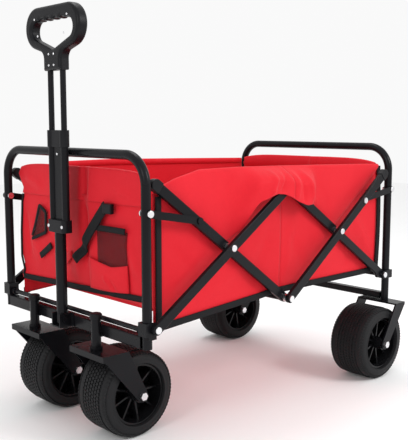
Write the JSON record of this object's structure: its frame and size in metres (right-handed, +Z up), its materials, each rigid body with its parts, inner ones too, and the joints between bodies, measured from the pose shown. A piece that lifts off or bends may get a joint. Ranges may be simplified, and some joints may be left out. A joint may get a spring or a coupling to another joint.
{
  "type": "folding wagon",
  "caption": "Folding camp wagon: fabric basket on a scissor frame, swivelling front casters, fixed rear wheels and a telescoping pull handle.",
  "frame": {"origin": "on the ground below the middle of the overall length and width", "axes": "-X towards the handle end, +Y to the right side as the wagon is pulled, +Z up"},
  "size_m": [0.856, 0.619, 0.87],
  "materials": {
    "black_steel": "gloss black powder coat",
    "zinc_steel": "bright zinc plate",
    "black_plastic": "satin moulded plastic",
    "rim_plastic": "gloss moulded plastic",
    "grip_plastic": "satin moulded plastic",
    "tyre_rubber": "matte black rubber with fine tread",
    "red_fabric": "woven polyester",
    "black_webbing": "woven webbing and binding tape"
  },
  "bodies": {
    "front_frame": {"front_frame_tube": "black_steel", "front_crossbar": "black_steel", "front_floor_rod": "black_steel", "front_pivot_brackets": "black_steel", "front_frame_pins": "zinc_steel", "caster_posts": "black_steel", "caster_caps": "black_plastic", "caster_washers": "zinc_steel", "handle_bracket": "black_steel", "handle_pivot_bolt": "zinc_steel", "basket_front_panel": "red_fabric", "basket_front_side_walls": "red_fabric", "basket_front_floor": "red_fabric"},
    "rear_frame": {"rear_frame_tube": "black_steel", "rear_crossbar": "black_steel", "rear_floor_rod": "black_steel", "rear_pivot_brackets": "black_steel", "rear_frame_pins": "zinc_steel", "rear_forks": "black_steel", "rear_axles": "zinc_steel", "basket_rear_panel": "red_fabric", "basket_rear_side_walls": "red_fabric", "basket_rear_floor": "red_fabric"},
    "front_outer_bars": {"left_front_outer_bar": "black_steel", "right_front_outer_bar": "black_steel", "front_bar_pins": "zinc_steel"},
    "front_inner_bars": {"left_front_inner_bar": "black_steel", "right_front_inner_bar": "black_steel", "front_bar_caps": "black_plastic", "centre_cross_tube": "black_steel", "centre_bolts": "zinc_steel"},
    "rear_outer_bars": {"left_rear_outer_bar": "black_steel", "right_rear_outer_bar": "black_steel", "rear_bar_caps": "black_plastic", "rear_bar_pins": "zinc_steel"},
    "rear_inner_bars": {"left_rear_inner_bar": "black_steel", "right_rear_inner_bar": "black_steel"},
    "top_pivot": {"top_pivot_pins": "zinc_steel", "top_pivot_flaps": "red_fabric"},
    "front_links": {"front_links": "black_steel"},
    "rear_links": {"rear_links": "black_steel"},
    "left_caster": {"left_caster_fork": "black_steel", "left_caster_axle": "zinc_steel"},
    "right_caster": {"right_caster_fork": "black_steel", "right_caster_axle": "zinc_steel"},
    "left_front_wheel": {"left_front_rim": "rim_plastic", "left_front_tyre": "tyre_rubber"},
    "right_front_wheel": {"right_front_rim": "rim_plastic", "right_front_tyre": "tyre_rubber"},
    "left_rear_wheel": {"left_rear_rim": "rim_plastic", "left_rear_tyre": "tyre_rubber"},
    "right_rear_wheel": {"right_rear_rim": "rim_plastic", "right_rear_tyre": "tyre_rubber"},
    "handle": {"handle_lower_tube": "black_steel", "handle_clamp": "black_plastic", "handle_sleeve": "black_steel", "handle_collar": "black_plastic"},
    "grip": {"handle_inner_tubes": "black_steel", "grip_front_shell": "grip_plastic", "grip_back_shell": "grip_plastic"}
  },
  "joints": [
    {"name": "fold", "type": "hinge", "parent": "front_frame", "child": "front_outer_bars", "pos_m": [-0.3745, 0, 0.254], "axis": [0, -1, 0], "range_deg": [0, 42.46], "deforming": ["basket_front_side_walls", "basket_front_floor", "basket_rear_side_walls", "basket_rear_floor"]},
    {"name": "fold_front_crossing", "type": "hinge", "parent": "front_outer_bars", "child": "front_inner_bars", "pos_m": [-0.1745, 0, 0.3866], "axis": [0, 1, 0], "range_deg": [0, 82.65]},
    {"name": "fold_centre", "type": "hinge", "parent": "front_inner_bars", "child": "rear_outer_bars", "pos_m": [0.006, 0, 0.254], "axis": [0, -1, 0], "range_deg": [0, 80.36]},
    {"name": "fold_rear_crossing", "type": "hinge", "parent": "rear_outer_bars", "child": "rear_inner_bars", "pos_m": [0.1865, 0, 0.3866], "axis": [0, 1, 0], "range_deg": [0, 82.65]},
    {"name": "fold_rear_frame", "type": "hinge", "parent": "rear_inner_bars", "child": "rear_frame", "pos_m": [0.3865, 0, 0.254], "axis": [0, -1, 0], "range_deg": [0, 42.48]},
    {"name": "fold_top_pivot", "type": "hinge", "parent": "front_outer_bars", "child": "top_pivot", "pos_m": [0.006, 0, 0.50627], "axis": [0, 1, 0], "range_deg": [0, 42.48]},
    {"name": "fold_front_link", "type": "hinge", "parent": "front_frame", "child": "front_links", "pos_m": [-0.3825, 0, 0.4715], "axis": [0, -1, 0], "range_deg": [0, 80.96]},
    {"name": "fold_rear_link", "type": "hinge", "parent": "rear_frame", "child": "rear_links", "pos_m": [0.4065, 0, 0.4715], "axis": [0, 1, 0], "range_deg": [0, 75.5]},
    {"name": "left_caster_swivel", "type": "hinge", "parent": "front_frame", "child": "left_caster", "pos_m": [-0.403, -0.116, 0.2], "axis": [0, 0, 1], "continuous": true},
    {"name": "left_front_wheel_spin", "type": "hinge", "parent": "left_caster", "child": "left_front_wheel", "pos_m": [-0.332, -0.116, 0.09], "axis": [0, 1, 0], "continuous": true},
    {"name": "left_rear_wheel_spin", "type": "hinge", "parent": "rear_frame", "child": "left_rear_wheel", "pos_m": [0.338, -0.2455, 0.09], "axis": [0, 1, 0], "continuous": true},
    {"name": "right_caster_swivel", "type": "hinge", "parent": "front_frame", "child": "right_caster", "pos_m": [-0.403, 0.116, 0.2], "axis": [0, 0, 1], "continuous": true},
    {"name": "right_front_wheel_spin", "type": "hinge", "parent": "right_caster", "child": "right_front_wheel", "pos_m": [-0.332, 0.116, 0.09], "axis": [0, 1, 0], "continuous": true},
    {"name": "right_rear_wheel_spin", "type": "hinge", "parent": "rear_frame", "child": "right_rear_wheel", "pos_m": [0.338, 0.2455, 0.09], "axis": [0, 1, 0], "continuous": true},
    {"name": "handle_tilt", "type": "hinge", "parent": "front_frame", "child": "handle", "pos_m": [-0.409, 0, 0.233], "axis": [0, -1, 0], "range_deg": [0, 105]},
    {"name": "handle_telescope", "type": "slide", "parent": "handle", "child": "grip", "axis": [0, 0, 1], "range_m": [-0.115, 0.045]}
  ],
  "couplings": [
    {"joint": "fold_front_crossing", "follows": "fold", "ratio": 1.9462},
    {"joint": "fold_centre", "follows": "fold", "ratio": 1.8923},
    {"joint": "fold_rear_crossing", "follows": "fold", "ratio": 1.9462},
    {"joint": "fold_rear_frame", "follows": "fold", "ratio": 1},
    {"joint": "fold_top_pivot", "follows": "fold", "ratio": 1},
    {"joint": "fold_front_link", "follows": "fold", "ratio": 1.9064},
    {"joint": "fold_rear_link", "follows": "fold", "ratio": 1.778}
  ]
}
